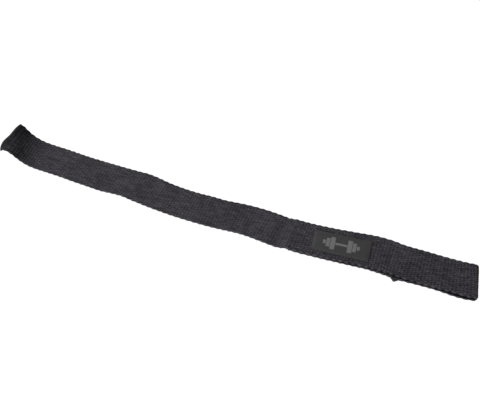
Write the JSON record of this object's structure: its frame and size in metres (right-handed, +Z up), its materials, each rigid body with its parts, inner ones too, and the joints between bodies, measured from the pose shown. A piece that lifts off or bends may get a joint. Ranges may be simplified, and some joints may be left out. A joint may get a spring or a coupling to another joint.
{
  "type": "weightlifting strap",
  "caption": "Flat cotton webbing strap with a sewn eye at one end, a woven label beside it and a cut tail that curls up, laid out flat; it wraps a wrist and a bar to help the grip.",
  "frame": {"origin": "middle of the strap's footprint, on the surface that it lies on", "axes": "+X runs from the cut tail to the fold of the eye, +Y across the webbing away from its front edge, +Z up"},
  "size_m": [0.517, 0.0464, 0.0226],
  "materials": {
    "webbing_cotton": "matt charcoal cotton plain weave",
    "label_satin": "smooth black damask weave with a pale grey motif"
  },
  "bodies": {
    "root": {"webbing": "webbing_cotton", "woven_label": "label_satin"}
  },
  "joints": []
}
